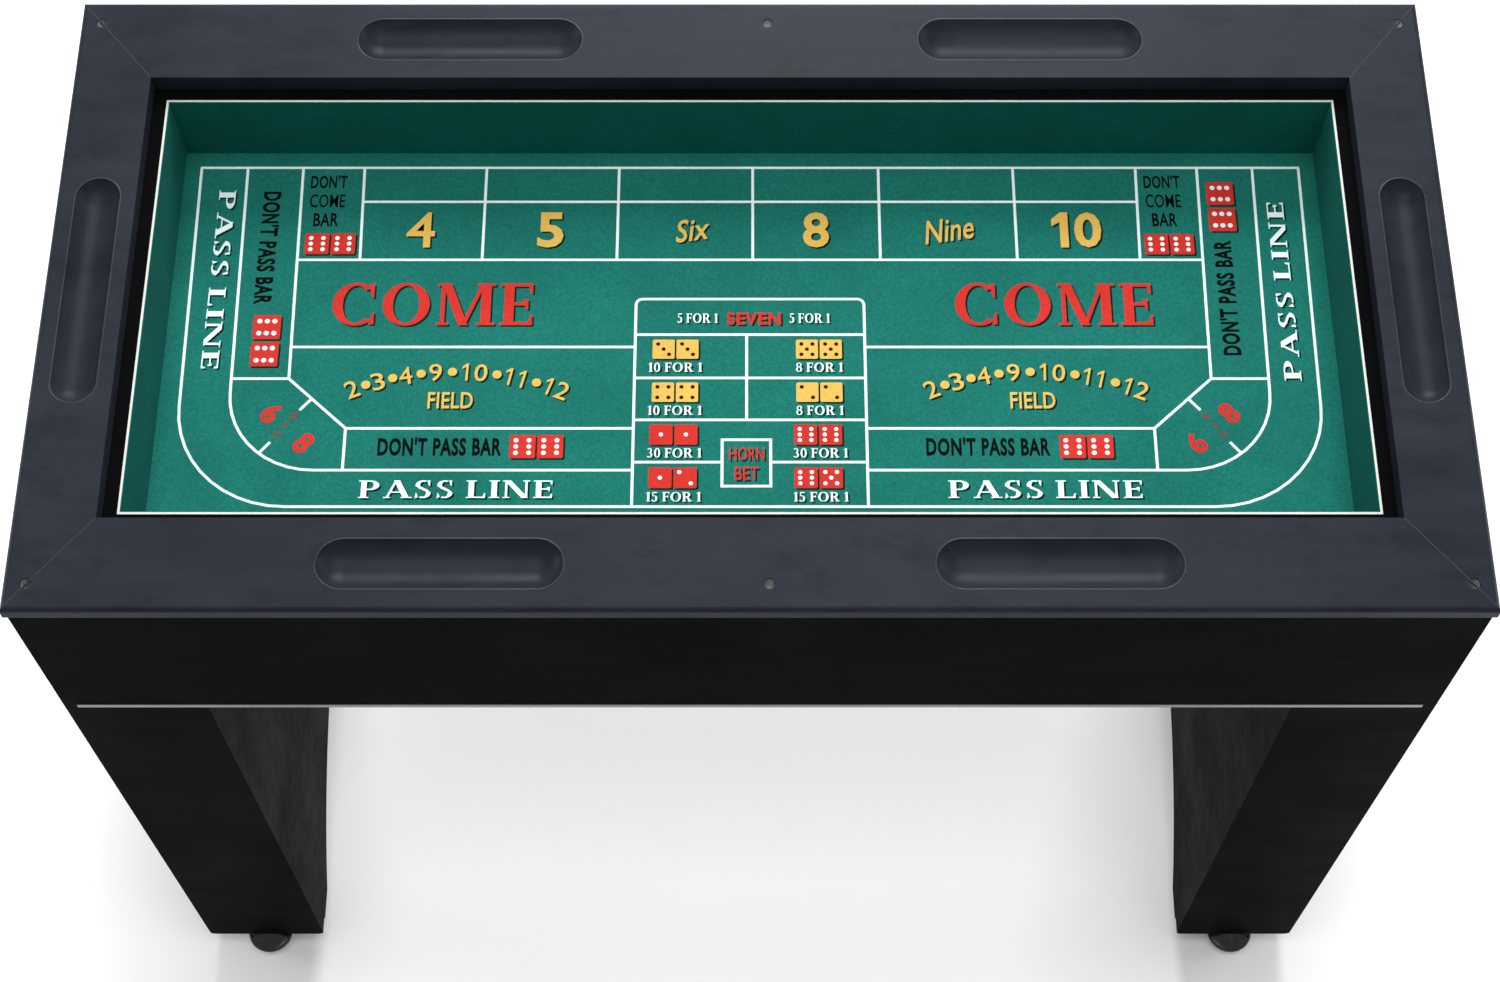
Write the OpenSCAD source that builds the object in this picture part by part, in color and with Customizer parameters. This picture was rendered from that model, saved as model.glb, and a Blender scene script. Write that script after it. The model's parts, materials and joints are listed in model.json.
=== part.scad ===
// Craps table: a mitred rail frame with chip troughs on a panelled cabinet, a felt lined dice well
// inside it, and a box leg at each end that stands on two levelling feet.
// Millimetres, +Z up. The origin is on the floor under the middle of the table, +X along its length
// and -Y towards the front player.

/* [Table] */
// Length over the rail
table_l = 1219; // [1150:1:1300]
// Width over the rail, front to back
table_w = 610; // [580:1:660]
// Height of the rail's top above the floor
table_h = 914; // [760:1:960]

/* [Rail] */
// Thickness of the rail boards
rail_t = 18; // [16:1:25]
// Width of the front and back rails
rail_long_w = 84; // [80:1:90]
// Width of the end rails
rail_end_w = 70; // [66:1:76]
// Rounding of the rail's outer edges
rail_edge_r = 5; // [2:0.5:7]
// How far the rail stands out past the cabinet
rail_overhang = 2.5; // [1:0.5:6]

/* [Chip troughs] */
// Length of a trough in the front and back rails
long_trough_l = 204; // [150:1:230]
// Width of a trough in the front and back rails
long_trough_w = 46; // [40:1:48]
// Middle of a long rail's trough from the table's middle
long_trough_x = 254; // [200:1:300]
// Length of a trough in the end rails
end_trough_l = 226; // [150:1:240]
// Width of a trough in the end rails
end_trough_w = 40; // [36:1:42]
// Middle of an end rail's trough from the rail's inner edge
end_trough_in = 33.5; // [30:0.5:38]
// Depth of every trough
trough_depth = 13; // [8:0.5:14]

/* [Cabinet] */
// Distance from the rail's top down to the apron's lower edge
apron_drop = 213; // [160:1:240]
// Thickness of the front and back aprons
apron_t = 15; // [12:1:18]
// Thickness of the end boards
end_board_t = 12; // [9:1:16]
// Height of the metal strip along the apron's lower edge
strip_h = 5.5; // [3:0.5:10]
// How far the metal strip stands out of the apron
strip_proud = 0.8; // [0.2:0.1:1.5]

/* [Dice well] */
// Depth of the playing felt below the rail's top
well_depth = 98; // [60:1:110]
// Width of the ledge that shows inside the rail
ledge_w = 12; // [8:1:14]
// Thickness of the well's wall boards
wall_t = 18; // [15:1:20]
// Thickness of the foam behind the wall felt
foam_t = 2; // [1.5:0.1:5]
// Thickness of the wall felt
felt_t = 0.8; // [0.5:0.1:1.5]
// Thickness of the printed playing felt
layout_t = 1.5; // [1:0.1:2]
// Thickness of the floor board
floor_t = 9; // [6:1:12]

/* [Legs] */
// Width of a leg, seen from the front
leg_w = 127; // [110:1:150]
// Thickness of a leg's front and back boards
post_t = 18; // [16:1:22]
// Thickness of a leg's inner and outer panels
panel_t = 12; // [9:1:15]
// Width of the arch under a leg panel
arch_span = 500; // [400:5:520]
// Height of the arch
arch_rise = 82; // [40:1:110]
// Gap under the leg with its feet screwed right in
leg_gap = 20; // [20:1:40]

/* [Levelling feet] */
// Diameter of a foot's pad
pad_d = 50; // [40:1:60]
// Height of the pad and its collar
pad_h = 17; // [14:1:17]
// Diameter of the stem's thread
stem_d = 8; // [6:1:10]
// Free length of the stem above the pad
stem_l = 44; // [40:1:50]

/* [Hidden] */

$fn = 64;
laminate = "#26282b";
rail_black = "#3c4046";
raw_board = "#b08d62";
felt_green = "#1f7f68";
foam_white = "#e8e8e4";
steel = "#b9bcc0";
through = 1;          // a cutter runs this far past the face that it cuts
skin = 0.05;          // room round a piece that is pushed into a hole

half_l = table_l / 2;
half_w = table_w / 2;
rail_z = table_h - rail_t;              // the rail's underside
cabinet_z = table_h - apron_drop;       // the cabinet's underside
end_x = half_l - rail_overhang;         // outer face of an end board
front_y = half_w - rail_overhang;       // outer face of an apron
end_in_x = end_x - end_board_t;
apron_in_y = front_y - apron_t;

mouth_x = half_l - rail_end_w;          // the rail's inner edges
mouth_y = half_w - rail_long_w;
wall_x = mouth_x - ledge_w;             // inner faces of the wall boards
wall_y = mouth_y - ledge_w;
wall_out_x = wall_x + wall_t;
wall_out_y = wall_y + wall_t;
felt_z = table_h - well_depth;          // top of the playing felt
floor_z = felt_z - layout_t - floor_t;  // underside of the floor board
cleat = 20;                             // section of a floor cleat
below_cleat = 5;                        // the wall boards reach this far below the cleats
wall_z = floor_z - cleat - below_cleat; // lower edge of the wall boards
rebate = 1;                             // depth of the rebate that a metal strip is let into

screw_in = [19.5, 24];                  // a corner screw, in from the rail's outer corner
mid_screw_x = 16;
screw_d = 4.5;
screw_l = 40;
screw_head_d = 9;
screw_head_h = 2.5;
cap_d = 10;
cap_h = 1.4;
cap_well = 4.4;                         // depth of the hole that a screw's head and cap sit in
screw_sites = [
  [-half_l + screw_in.x, -half_w + screw_in.y], [half_l - screw_in.x, -half_w + screw_in.y],
  [-half_l + screw_in.x, half_w - screw_in.y], [half_l - screw_in.x, half_w - screw_in.y],
  [mid_screw_x, -half_w + screw_in.y], [mid_screw_x, half_w - screw_in.y]
];
block_h = 50;
mid_block_w = 50;

leg_in_x = end_x - leg_w;               // a leg's inner face
post_in_y = front_y - post_t;           // inner faces of a leg's front and back boards
leg_mid_x = end_x - leg_w / 2;
plate_t = 18;                           // thickness of the base plates and the leg's top plates
base_reach = 12;                        // the base plate runs this far past the leg
corner_r = 6;                           // rounding of a leg board's lower corners
batten = 20;
batten_l = 480;
bolt_ys = [-220, -90, 90, 220];
bolt_d = 8;
bolt_hole_d = 9;
bolt_head_d = 14.4;
bolt_head_h = 5.3;
bolt_tail = 4;                          // the bolt's end past its tee nut
washer_d = 20;
washer_t = 1.6;
tee_barrel_d = 10;
tee_barrel_l = 9;
tee_flange_d = 22;
tee_flange_t = 1.5;

foot_y = front_y - post_t / 2;          // a foot's axis is in the middle of the leg's board
insert_d = 11;
insert_l = 22;
insert_flange_d = 15;
insert_flange_t = 1.5;
fit = 0.05;                             // running clearance of the stem in its insert
socket_l = 48;                          // depth of the hole above the leg's lower edge
stem_chamfer = 1;
pad_rim_h = 4;                          // height of the pad's upright edge
pad_chamfer = 1.5;
collar_d = 15;
collar_h = 4;

// Profile of a rail's section: the outer edge at the right, rounded at the top and underneath.
module rail_section(w) {
  r = rail_edge_r;
  square([w - r, rail_t]);
  translate([0, r]) square([w, rail_t - 2 * r]);
  for (y = [r, rail_t - r]) translate([w - r, y]) circle(r);
}

// A rail board with mitred ends, lying along X with its outer edge at y = 0 and its inside at y = w.
module rail_board(l, w, end_w) {
  intersection() {
    translate([l / 2, w, 0]) rotate([90, 0, -90]) linear_extrude(l) rail_section(w);
    linear_extrude(rail_t) polygon([[-l / 2, 0], [l / 2, 0], [l / 2 - end_w, w], [-l / 2 + end_w, w]]);
  }
}

// The cutter for a chip trough: a round bottomed groove with ball ends, w wide at the rail's top.
module trough_cutter(l, w) {
  r = (w * w / 4 + trough_depth * trough_depth) / (2 * trough_depth);
  half = l / 2 - w / 2;
  translate([0, 0, table_h - trough_depth + r]) {
    rotate([0, 90, 0]) cylinder(h = 2 * half, r = r, center = true);
    for (s = [-1, 1]) translate([s * half, 0, 0]) sphere(r);
  }
}

// Holes down through the rail for the screws, with a wider one at the top for head and cap.
module screw_holes() {
  for (p = screw_sites) translate([p.x, p.y, 0]) {
    translate([0, 0, rail_z - through]) cylinder(h = rail_t + 2 * through, d = screw_d + 2 * skin);
    translate([0, 0, table_h - cap_well]) cylinder(h = cap_well + through, d = cap_d + 2 * skin);
  }
}

module long_rail(side) {
  color(rail_black) difference() {
    translate([0, side * half_w, rail_z]) rotate([0, 0, side > 0 ? 180 : 0])
      rail_board(table_l, rail_long_w, rail_end_w);
    for (x = [-long_trough_x, long_trough_x])
      translate([x, side * (mouth_y + rail_long_w / 2), 0]) trough_cutter(long_trough_l, long_trough_w);
    screw_holes();
  }
}

module end_rail(side) {
  color(rail_black) difference() {
    translate([side * half_l, 0, rail_z]) rotate([0, 0, side > 0 ? 90 : -90])
      rail_board(table_w, rail_end_w, rail_long_w);
    translate([side * (mouth_x + end_trough_in), 0, 0]) rotate([0, 0, 90])
      trough_cutter(end_trough_l, end_trough_w);
    screw_holes();
  }
}

module rail_screws() {
  color(steel) for (p = screw_sites) translate([p.x, p.y, table_h - cap_well]) {
    cylinder(h = screw_head_h, d = screw_head_d);
    translate([0, 0, -screw_l]) cylinder(h = screw_l + through, d = screw_d);
  }
}

module rail_screw_caps() {
  color("#151617") for (p = screw_sites) translate([p.x, p.y, table_h - cap_well + screw_head_h])
    cylinder(h = cap_h, d = cap_d);
}

// Blocks under the rail that join the well to the cabinet and take the rail screws.
module rail_blocks() {
  dx = end_in_x - wall_out_x;
  dy = apron_in_y - wall_out_y;
  color(raw_board) difference() {
    union() {
      for (sx = [-1, 1], sy = [-1, 1])
        translate([sx * (wall_out_x + dx / 2), sy * (wall_out_y + dy / 2), rail_z - block_h / 2])
          cube([dx, dy, block_h], center = true);
      for (sy = [-1, 1])
        translate([mid_screw_x, sy * (wall_out_y + dy / 2), rail_z - block_h / 2])
          cube([mid_block_w, dy, block_h], center = true);
    }
    for (p = screw_sites) translate([p.x, p.y, table_h - cap_well - screw_l - through])
      cylinder(h = screw_l + through, d = screw_d + 2 * skin);
  }
}

module apron(side) {
  color(laminate) difference() {
    translate([0, side * (apron_in_y + apron_t / 2), (cabinet_z + rail_z) / 2])
      cube([2 * end_in_x, apron_t, rail_z - cabinet_z], center = true);
    translate([0, side * front_y, cabinet_z + strip_h / 2 - through / 2])
      cube([2 * end_in_x + 2 * through, 2 * rebate, strip_h + through], center = true);
  }
}

module trim_strip(side) {
  t = rebate + strip_proud;
  color(steel) translate([0, side * (front_y - rebate + t / 2), cabinet_z + strip_h / 2])
    cube([2 * end_in_x, t, strip_h], center = true);
}

module end_board(side) {
  color(laminate) translate([side * (end_in_x + end_board_t / 2), 0, (cabinet_z + rail_z) / 2])
    cube([end_board_t, 2 * front_y, rail_z - cabinet_z], center = true);
}

module long_wall(side) {
  color(laminate) translate([0, side * (wall_y + wall_t / 2), (wall_z + rail_z) / 2])
    cube([2 * wall_out_x, wall_t, rail_z - wall_z], center = true);
}

module end_wall(side) {
  color(laminate) translate([side * (wall_x + wall_t / 2), 0, (wall_z + rail_z) / 2])
    cube([wall_t, 2 * wall_y, rail_z - wall_z], center = true);
}

// A lining standing on the playing felt: t thick, its back face in_by inside the wall board.
module long_lining(side, in_by, t) {
  translate([0, side * (wall_y - in_by - t / 2), (felt_z + rail_z) / 2])
    cube([2 * (wall_x - in_by), t, rail_z - felt_z], center = true);
}

module end_lining(side, in_by, t) {
  translate([side * (wall_x - in_by - t / 2), 0, (felt_z + rail_z) / 2])
    cube([t, 2 * (wall_y - in_by - t), rail_z - felt_z], center = true);
}

module well_floor() {
  color(raw_board) translate([0, 0, floor_z + floor_t / 2])
    cube([2 * wall_x, 2 * wall_y, floor_t], center = true);
}

module layout_felt() {
  color(felt_green) translate([0, 0, felt_z - layout_t / 2])
    cube([2 * wall_x, 2 * wall_y, layout_t], center = true);
}

module long_cleat(side) {
  color(raw_board) translate([0, side * (wall_y - cleat / 2), floor_z - cleat / 2])
    cube([2 * wall_x, cleat, cleat], center = true);
}

module end_cleat(side) {
  color(raw_board) translate([side * (wall_x - cleat / 2), 0, floor_z - cleat / 2])
    cube([cleat, 2 * (wall_y - cleat), cleat], center = true);
}

// The plate in the cabinet's underside that a leg is bolted to.
module base_plate(side) {
  l = end_in_x - leg_in_x + base_reach;
  color(raw_board) difference() {
    translate([side * (end_in_x - l / 2), 0, cabinet_z + plate_t / 2])
      cube([l, 2 * apron_in_y, plate_t], center = true);
    for (y = bolt_ys) translate([side * leg_mid_x, y, cabinet_z - through])
      cylinder(h = plate_t + 2 * through, d = tee_barrel_d + 2 * skin);
  }
}

// A leg's front or back board, rounded at its lower corners and bored for its levelling foot.
module leg_board(sx, sy) {
  h = cabinet_z - leg_gap;
  color(laminate) difference() {
    translate([sx * leg_mid_x, sy * (front_y - post_t / 2) + post_t / 2, leg_gap]) rotate([90, 0, 0])
      linear_extrude(post_t) union() {
        translate([-leg_w / 2, corner_r]) square([leg_w, h - corner_r]);
        translate([-leg_w / 2 + corner_r, 0]) square([leg_w - 2 * corner_r, corner_r]);
        for (s = [-1, 1]) translate([s * (leg_w / 2 - corner_r), corner_r]) circle(corner_r);
      }
    translate([sx * leg_mid_x, sy * foot_y, leg_gap - through])
      cylinder(h = insert_l + through, d = insert_d + 2 * skin);
    translate([sx * leg_mid_x, sy * foot_y, leg_gap])
      cylinder(h = socket_l, d = stem_d + 1);
  }
}

// A leg's inner or outer panel, with its arch. x is the middle of its thickness.
module leg_panel(x) {
  h = cabinet_z - leg_gap;
  r = (arch_span * arch_span / 4 + arch_rise * arch_rise) / (2 * arch_rise);
  color(laminate) difference() {
    translate([x, 0, leg_gap + h / 2]) cube([panel_t, 2 * post_in_y, h], center = true);
    intersection() {
      translate([x, 0, leg_gap + arch_rise - r]) rotate([0, 90, 0])
        cylinder(h = panel_t + 2 * through, r = r, center = true, $fn = 128);
      translate([x, 0, leg_gap + arch_rise / 2 - through])
        cube([panel_t + 4 * through, arch_span + 2 * through, arch_rise + 2 * through], center = true);
    }
  }
}

module leg_inner(side) {
  leg_panel(side * (leg_in_x + panel_t / 2));
}

module leg_outer(side) {
  leg_panel(side * (end_x - panel_t / 2));
}

module leg_top_plate(side) {
  color(raw_board) difference() {
    translate([side * leg_mid_x, 0, cabinet_z - plate_t / 2])
      cube([leg_w - 2 * panel_t, 2 * post_in_y, plate_t], center = true);
    for (y = bolt_ys) translate([side * leg_mid_x, y, cabinet_z - plate_t - through])
      cylinder(h = plate_t + 2 * through, d = bolt_hole_d);
  }
}

// Glued battens in the four upright corners inside a leg.
module leg_battens(side) {
  x = leg_w / 2 - panel_t - batten / 2;
  y = post_in_y - batten / 2;
  color(raw_board) for (sx = [-1, 1], sy = [-1, 1])
    translate([side * leg_mid_x + sx * x, sy * y, cabinet_z - plate_t - batten_l / 2])
      cube([batten, batten, batten_l], center = true);
}

// A shape at each place where a leg is bolted to the cabinet.
module at_bolts() {
  for (sx = [-1, 1], y = bolt_ys) translate([sx * leg_mid_x, y, 0]) children();
}

module leg_bolts() {
  under = cabinet_z - plate_t - washer_t;
  color(steel) at_bolts() {
    translate([0, 0, under - bolt_head_h]) cylinder(h = bolt_head_h, d = bolt_head_d, $fn = 6);
    translate([0, 0, under - skin]) cylinder(h = plate_t * 2 + washer_t + bolt_tail, d = bolt_d);
  }
}

module leg_washers() {
  color(steel) at_bolts() translate([0, 0, cabinet_z - plate_t - washer_t]) difference() {
    cylinder(h = washer_t, d = washer_d);
    translate([0, 0, -through]) cylinder(h = washer_t + 2 * through, d = bolt_d + 4 * skin);
  }
}

module leg_tee_nuts() {
  top = cabinet_z + plate_t;
  color(steel) at_bolts() difference() {
    union() {
      translate([0, 0, top]) cylinder(h = tee_flange_t, d = tee_flange_d);
      translate([0, 0, top - tee_barrel_l]) cylinder(h = tee_barrel_l + skin, d = tee_barrel_d);
    }
    translate([0, 0, top - tee_barrel_l - through])
      cylinder(h = tee_barrel_l + tee_flange_t + 2 * through, d = bolt_d + 2 * skin);
  }
}

module foot_inserts() {
  color(steel) for (sx = [-1, 1], sy = [-1, 1])
    translate([sx * leg_mid_x, sy * foot_y, leg_gap]) difference() {
      union() {
        translate([0, 0, -insert_flange_t]) cylinder(h = insert_l + insert_flange_t, d = insert_d);
        translate([0, 0, -insert_flange_t]) cylinder(h = insert_flange_t, d = insert_flange_d);
      }
      translate([0, 0, -insert_flange_t - through])
        cylinder(h = insert_l + insert_flange_t + 2 * through, d = stem_d + 2 * fit);
    }
}

// A foot's threaded stem, from the top of its pad's collar up into the leg, chamfered at its end.
module stem(sx, sy) {
  color(steel) translate([sx * leg_mid_x, sy * foot_y, pad_h]) {
    cylinder(h = stem_l - stem_chamfer, d = stem_d);
    translate([0, 0, stem_l - stem_chamfer])
      cylinder(h = stem_chamfer, d1 = stem_d, d2 = stem_d - 2 * stem_chamfer);
  }
}

// A foot's pad: a low cone with a chamfered rim and a collar, turned about its own axis.
module pad(sx, sy) {
  r = pad_d / 2;
  color("#1b1c1e") translate([sx * leg_mid_x, sy * foot_y, 0]) rotate_extrude($fn = 96)
    polygon([[0, 0], [r - pad_chamfer, 0], [r, pad_chamfer], [r, pad_rim_h - pad_chamfer],
      [r - pad_chamfer, pad_rim_h], [collar_d / 2, pad_h - collar_h], [collar_d / 2, pad_h], [0, pad_h]]);
}

long_rail(-1);  // rail_front
long_rail(1);  // rail_back
end_rail(-1);  // rail_left
end_rail(1);  // rail_right
rail_screws();
rail_screw_caps();
rail_blocks();
apron(-1);  // apron_front
apron(1);  // apron_back
end_board(-1);  // end_board_left
end_board(1);  // end_board_right
trim_strip(-1);  // trim_strip_front
trim_strip(1);  // trim_strip_back
long_wall(-1);  // well_wall_front
long_wall(1);  // well_wall_back
end_wall(-1);  // well_wall_left
end_wall(1);  // well_wall_right
color(foam_white) long_lining(-1, 0, foam_t);  // wall_foam_front
color(foam_white) long_lining(1, 0, foam_t);  // wall_foam_back
color(foam_white) end_lining(-1, 0, foam_t);  // wall_foam_left
color(foam_white) end_lining(1, 0, foam_t);  // wall_foam_right
color(felt_green) long_lining(-1, foam_t, felt_t);  // wall_felt_front
color(felt_green) long_lining(1, foam_t, felt_t);  // wall_felt_back
color(felt_green) end_lining(-1, foam_t, felt_t);  // wall_felt_left
color(felt_green) end_lining(1, foam_t, felt_t);  // wall_felt_right
well_floor();
layout_felt();
long_cleat(-1);  // floor_cleat_front
long_cleat(1);  // floor_cleat_back
end_cleat(-1);  // floor_cleat_left
end_cleat(1);  // floor_cleat_right
base_plate(-1);  // base_plate_left
base_plate(1);  // base_plate_right
leg_board(-1, -1);  // leg_front_left
leg_board(1, -1);  // leg_front_right
leg_board(-1, 1);  // leg_back_left
leg_board(1, 1);  // leg_back_right
leg_inner(-1);  // leg_inner_left
leg_inner(1);  // leg_inner_right
leg_outer(-1);  // leg_outer_left
leg_outer(1);  // leg_outer_right
leg_top_plate(-1);  // leg_top_plate_left
leg_top_plate(1);  // leg_top_plate_right
leg_battens(-1);  // leg_battens_left
leg_battens(1);  // leg_battens_right
leg_bolts();
leg_washers();
leg_tee_nuts();
foot_inserts();
stem(-1, -1);  // stem_front_left
stem(1, -1);  // stem_front_right
stem(-1, 1);  // stem_back_left
stem(1, 1);  // stem_back_right
pad(-1, -1);  // pad_front_left
pad(1, -1);  // pad_front_right
pad(-1, 1);  // pad_back_left
pad(1, 1);  // pad_back_right
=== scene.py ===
# %% [markdown]
# # A small standing craps table
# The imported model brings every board, screw and foot in its true place. This lesson adds what makes
# it look real: laminate, felt with its printed layout, threads, ribbed feet, soft light and a camera.
# Sizes are in metres, and a value in millimetres is multiplied by MM. The printed layout alone is
# drawn in millimetres, and turned to metres as it is laid on the felt.

import json

import bmesh
import bpy
import numpy as np
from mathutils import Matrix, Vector


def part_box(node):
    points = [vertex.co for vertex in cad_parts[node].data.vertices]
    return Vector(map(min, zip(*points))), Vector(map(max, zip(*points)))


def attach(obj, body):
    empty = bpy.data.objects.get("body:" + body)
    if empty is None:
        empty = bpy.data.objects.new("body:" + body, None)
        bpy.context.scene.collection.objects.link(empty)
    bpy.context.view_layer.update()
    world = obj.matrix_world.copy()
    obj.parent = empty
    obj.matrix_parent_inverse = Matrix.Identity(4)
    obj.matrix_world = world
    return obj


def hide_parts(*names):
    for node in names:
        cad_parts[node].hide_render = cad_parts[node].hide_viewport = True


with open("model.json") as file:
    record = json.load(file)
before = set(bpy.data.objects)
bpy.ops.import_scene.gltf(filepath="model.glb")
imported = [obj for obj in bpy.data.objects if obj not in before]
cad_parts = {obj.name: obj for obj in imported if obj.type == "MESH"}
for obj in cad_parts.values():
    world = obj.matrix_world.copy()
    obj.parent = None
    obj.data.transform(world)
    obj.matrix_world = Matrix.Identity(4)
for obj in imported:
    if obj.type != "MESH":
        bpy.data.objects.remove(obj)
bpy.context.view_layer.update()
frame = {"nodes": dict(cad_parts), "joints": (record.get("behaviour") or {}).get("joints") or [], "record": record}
nodes = frame["nodes"]
MM = 0.001
print("pieces in the frame:", len(nodes))

# %% [markdown]
# ## Places taken from the frame
# The table could be measured with a ruler and typed in again. Reading it from the frame is safer: if
# a board changes, everything laid on it follows.

# %% Places
rail_low, rail_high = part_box("rail_front")
side_low, side_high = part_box("rail_right")
RAIL_TOP = rail_high.z
HALF_L = side_high.x
HALF_W = -rail_low.y
MOUTH_X = side_low.x
MOUTH_Y = -rail_high.y
FELT_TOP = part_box("layout_felt")[1].z
FOOT_TRAVEL = frame["joints"][0]["range_m"][1]
print("rail top", round(RAIL_TOP, 4), "felt top", round(FELT_TOP, 4))

# %% [markdown]
# ## Turning arrays into meshes
# A tube, a thread and a printed line are all one thing: a profile carried along a path. Points in a
# grid of rows and columns can describe each of them, so one function joins any grid into a skin.

# %% The skin over a grid of points


def skin(points):
    """Faces over a grid of points: each point is joined to its next column and next row, the last
    column to the first, and the first and last rows are closed with one face each."""
    rows, cols = points.shape[:2]
    row = np.arange(rows - 1)[:, None] * cols
    here = np.arange(cols)[None, :]
    there = (here + 1) % cols
    quads = np.stack([row + here, row + there, row + cols + there, row + cols + here], -1)
    first = list(range(cols))[::-1]
    last = list(range((rows - 1) * cols, rows * cols))
    return points.reshape(-1, 3), quads.reshape(-1, 4).tolist() + [first, last]


def joined(parts):
    """Several pairs of points and faces as one pair: each part's face numbers move up by the count
    of the points before it."""
    counts = np.cumsum([0] + [len(points) for points, _ in parts])
    faces = [[i + int(start) for i in face] for (_, fs), start in zip(parts, counts) for face in fs]
    return np.concatenate([points for points, _ in parts]), faces


def piece(name, parts, finish, body="table", smooth=False):
    """One mesh object made of several skins, its normals outward, riding on a body."""
    points, faces = joined(parts)
    mesh = bpy.data.meshes.new(name)
    mesh.from_pydata(points.tolist(), [], faces)
    mesh.update()
    work = bmesh.new()
    work.from_mesh(mesh)
    bmesh.ops.recalc_face_normals(work, faces=work.faces)
    work.to_mesh(mesh)
    work.free()
    mesh.polygons.foreach_set("use_smooth", np.full(len(mesh.polygons), smooth))
    mesh.materials.append(finish)
    made = bpy.data.objects.new(name, mesh)
    bpy.context.scene.collection.objects.link(made)
    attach(made, body)
    print(name, len(mesh.polygons), "faces")
    return made


# %% [markdown]
# ## Building a finish from nodes
# A finish is a small network: a pattern made from the surface's own place, then its effect on
# colour, roughness and relief. Noise at two or three scales is enough for most real surfaces: one
# for wear that is seen from across a room, and one for the grain that is seen close up.

# %% A helper for node networks


class Finish:
    """A material whose nodes are added one call at a time."""

    def __init__(self, name):
        self.material = bpy.data.materials.new(name)
        self.material.use_nodes = True
        self.tree = self.material.node_tree
        self.shader = self.tree.nodes["Principled BSDF"]
        self.place = self.add("ShaderNodeTexCoord").outputs["Object"]

    def add(self, kind, inputs=(), **settings):
        """A new node: settings are its own options, and inputs are (socket, value or output)."""
        made = self.tree.nodes.new(kind)
        for key, value in settings.items():
            setattr(made, key, value)
        for socket, value in inputs:
            self.put(made, socket, value)
        return made

    def put(self, made, socket, value):
        """An output is linked to the socket, and anything else becomes the socket's own value."""
        if isinstance(value, bpy.types.NodeSocket):
            self.tree.links.new(value, made.inputs[socket])
        else:
            made.inputs[socket].default_value = value

    def noise(self, scale, detail=4.0, stretch=(1, 1, 1), rough=0.55):
        """Noise from 0 to 1 on object coordinates, squeezed along each axis by stretch."""
        mapped = self.add("ShaderNodeMapping", [("Vector", self.place), ("Scale", stretch)])
        made = self.add("ShaderNodeTexNoise", [("Vector", mapped.outputs[0]), ("Scale", scale),
                                               ("Detail", detail), ("Roughness", rough)])
        return made.outputs[0]

    def span(self, value, low, high, to_low, to_high):
        """A value between low and high is moved to between to_low and to_high, and held there."""
        made = self.add("ShaderNodeMapRange", [(0, value), (1, low), (2, high), (3, to_low),
                                               (4, to_high)])
        return made.outputs[0]

    def mix(self, share, first, second):
        """The first colour moved towards the second by a share."""
        made = self.add("ShaderNodeMix", [(0, share), (6, first), (7, second)], data_type="RGBA")
        return made.outputs[2]

    def relief(self, height, depth, strength):
        """Bump: height is a pattern, depth is its real depth in metres."""
        inputs = [("Height", height), ("Distance", depth), ("Strength", strength)]
        return self.add("ShaderNodeBump", inputs).outputs[0]

    def finish(self, **sockets):
        """Sets the shader's sockets, named with _ for each space, and gives the material."""
        for socket, value in sockets.items():
            self.put(self.shader, socket.replace("_", " "), value)
        return self.material


def shade(red, green, blue):
    """A colour written 0 to 255 as seen on a screen, made linear."""
    seen = np.array([red, green, blue]) / 255
    linear = np.where(seen <= 0.04045, seen / 12.92, ((seen + 0.055) / 1.055) ** 2.4)
    return (*linear.tolist(), 1.0)


# %% [markdown]
# ## Laminate
# The rail is covered with a charcoal laminate and the cabinet with a black one. Both are smooth but
# not polished: hands leave faint clouds, and wiping leaves fine streaks. Clouds change roughness
# more than colour, because a smudge on a dark surface is mostly seen in the reflection.

# %% Laminates


def laminate(name, base, wiped, gloss, shine):
    """A dark sheet: clouds from wide noise, streaks from noise stretched along x, dark scuffs, pale
    specks and a fine pebble."""
    look = Finish(name)
    clouds = look.noise(7.0, 5.0)
    scuffs = look.span(look.noise(26.0, 7.0, (0.6, 1.0, 1.0), 0.7), 0.52, 0.66, 0.0, 0.55)
    streaks = look.noise(60.0, 6.0, (0.12, 1.0, 1.0))
    pebbles = look.noise(1500.0, 2.0)
    speck = look.span(look.noise(420.0, 1.0), 0.68, 0.76, 0.0, 0.5)
    wear = look.mix(look.span(clouds, 0.35, 0.7, 0.0, 0.55), base, wiped)
    colour = look.mix(look.span(streaks, 0.45, 0.75, 0.0, 0.3), wear, wiped)
    rubbed = look.mix(scuffs, colour, tuple(0.62 * c for c in base[:3]) + (1.0,))
    dusted = look.mix(speck, rubbed, wiped)
    rough = look.add("ShaderNodeMath", [(0, look.span(clouds, 0.3, 0.7, gloss - 0.06, gloss + 0.08)),
                                     (1, look.span(streaks, 0.4, 0.8, -0.04, 0.06))], operation="ADD")
    bump = look.relief(pebbles, 0.00004, 0.5)
    return look.finish(Base_Color=dusted, Roughness=rough.outputs[0], Normal=bump,
                    Specular_IOR_Level=shine)


rail_finish = laminate("rail_laminate", shade(29, 33, 41), shade(40, 45, 54), 0.42, 0.08)
cabinet_finish = laminate("cabinet_laminate", shade(8, 8, 9), shade(12, 12, 14), 0.46, 0.005)
print("laminates:", rail_finish.name, cabinet_finish.name)

# %% [markdown]
# ## Felt and foam
# Felt is pressed wool: short fibres that lie every way and catch light at a low angle. Real hairs
# would cost millions of triangles, so fine noise gives the fibres and the shader's sheen gives the
# glow. The same fibres show through the printing, so inks share this recipe.

# %% Felts, inks and foam


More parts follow.
